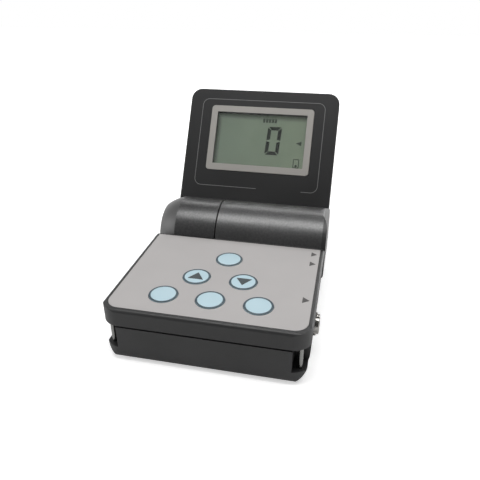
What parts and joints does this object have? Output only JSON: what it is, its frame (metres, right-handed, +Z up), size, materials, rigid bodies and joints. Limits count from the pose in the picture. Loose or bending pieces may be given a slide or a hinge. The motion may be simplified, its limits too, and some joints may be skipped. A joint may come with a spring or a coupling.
{
  "type": "salinity meter",
  "caption": "Hand-held salinity and conductivity meter: a case with round keys and side sockets, and a liquid crystal display that flips up on a thick hinge barrel.",
  "frame": {"origin": "on the table, under the middle of the case", "axes": "+X to the user's right, +Y away from the user, +Z up"},
  "size_m": [0.1011, 0.1658, 0.0973],
  "materials": {
    "case_plastic": "satin",
    "overlay_film": "matte",
    "key_film": "satin",
    "silver_trim": "satin",
    "clear_window": "polished",
    "lcd": "matte",
    "board_green": "satin",
    "chip_black": "matte",
    "bright_metal": "polished",
    "screw_steel": "satin",
    "dome_steel": "satin",
    "white_insulator": "satin",
    "contact_brass": "polished",
    "foot_rubber": "matte",
    "battery_label": "satin",
    "spindle_plastic": "satin",
    "cable_sheath": "matte",
    "conductive_rubber": "matte"
  },
  "bodies": {
    "base": {"lower_case": "case_plastic", "upper_case": "case_plastic", "keypad_overlay": "overlay_film", "snap_domes": "dome_steel", "main_board": "board_green", "board_chips": "chip_black", "board_screws": "screw_steel", "bnc_shell": "bright_metal", "bnc_insulator": "white_insulator", "bnc_contact": "contact_brass", "bnc_nut": "bright_metal", "temp_jack": "chip_black", "power_jack": "chip_black", "power_pin": "bright_metal", "strap_posts": "bright_metal", "rubber_feet": "foot_rubber", "case_screws": "screw_steel", "battery": "battery_label", "battery_snap": "chip_black", "hinge_spindle": "spindle_plastic", "hinge_washer": "dome_steel", "hinge_clip": "screw_steel", "hinge_screws": "screw_steel", "hinge_cable": "cable_sheath"},
    "display": {"display_front": "case_plastic", "display_back": "case_plastic", "display_screws": "screw_steel", "hinge_end_cap": "case_plastic", "lcd_frame": "silver_trim", "window_lens": "clear_window", "lcd_glass": "lcd", "elastomer_strips": "conductive_rubber", "display_board": "board_green", "display_cable": "cable_sheath"},
    "battery_door": {"battery_cover": "case_plastic"},
    "key_top_body": {"key_top": "key_film"},
    "key_up_body": {"key_up": "key_film"},
    "key_down_body": {"key_down": "key_film"},
    "key_left_body": {"key_left": "key_film"},
    "key_middle_body": {"key_middle": "key_film"},
    "key_right_body": {"key_right": "key_film"}
  },
  "joints": [
    {"name": "display_hinge", "type": "hinge", "parent": "base", "child": "display", "pos_m": [0, 0.0384, 0.022], "axis": [1, 0, 0], "range_deg": [-18, 123.5]},
    {"name": "battery_door_hinge", "type": "hinge", "parent": "base", "child": "battery_door", "pos_m": [-0.002, -0.00345, 0.0008], "axis": [1, 0, 0], "range_deg": [0, 55]},
    {"name": "key_top_press", "type": "slide", "parent": "base", "child": "key_top_body", "axis": [0, 0, -1], "range_m": [0, 0.0004], "stiffness_N_per_m": 5000, "springref_m": -0.0001},
    {"name": "key_up_press", "type": "slide", "parent": "base", "child": "key_up_body", "axis": [0, 0, -1], "range_m": [0, 0.0004], "stiffness_N_per_m": 5000, "springref_m": -0.0001},
    {"name": "key_down_press", "type": "slide", "parent": "base", "child": "key_down_body", "axis": [0, 0, -1], "range_m": [0, 0.0004], "stiffness_N_per_m": 5000, "springref_m": -0.0001},
    {"name": "key_left_press", "type": "slide", "parent": "base", "child": "key_left_body", "axis": [0, 0, -1], "range_m": [0, 0.0004], "stiffness_N_per_m": 5000, "springref_m": -0.0001},
    {"name": "key_middle_press", "type": "slide", "parent": "base", "child": "key_middle_body", "axis": [0, 0, -1], "range_m": [0, 0.0004], "stiffness_N_per_m": 5000, "springref_m": -0.0001},
    {"name": "key_right_press", "type": "slide", "parent": "base", "child": "key_right_body", "axis": [0, 0, -1], "range_m": [0, 0.0004], "stiffness_N_per_m": 5000, "springref_m": -0.0001}
  ]
}
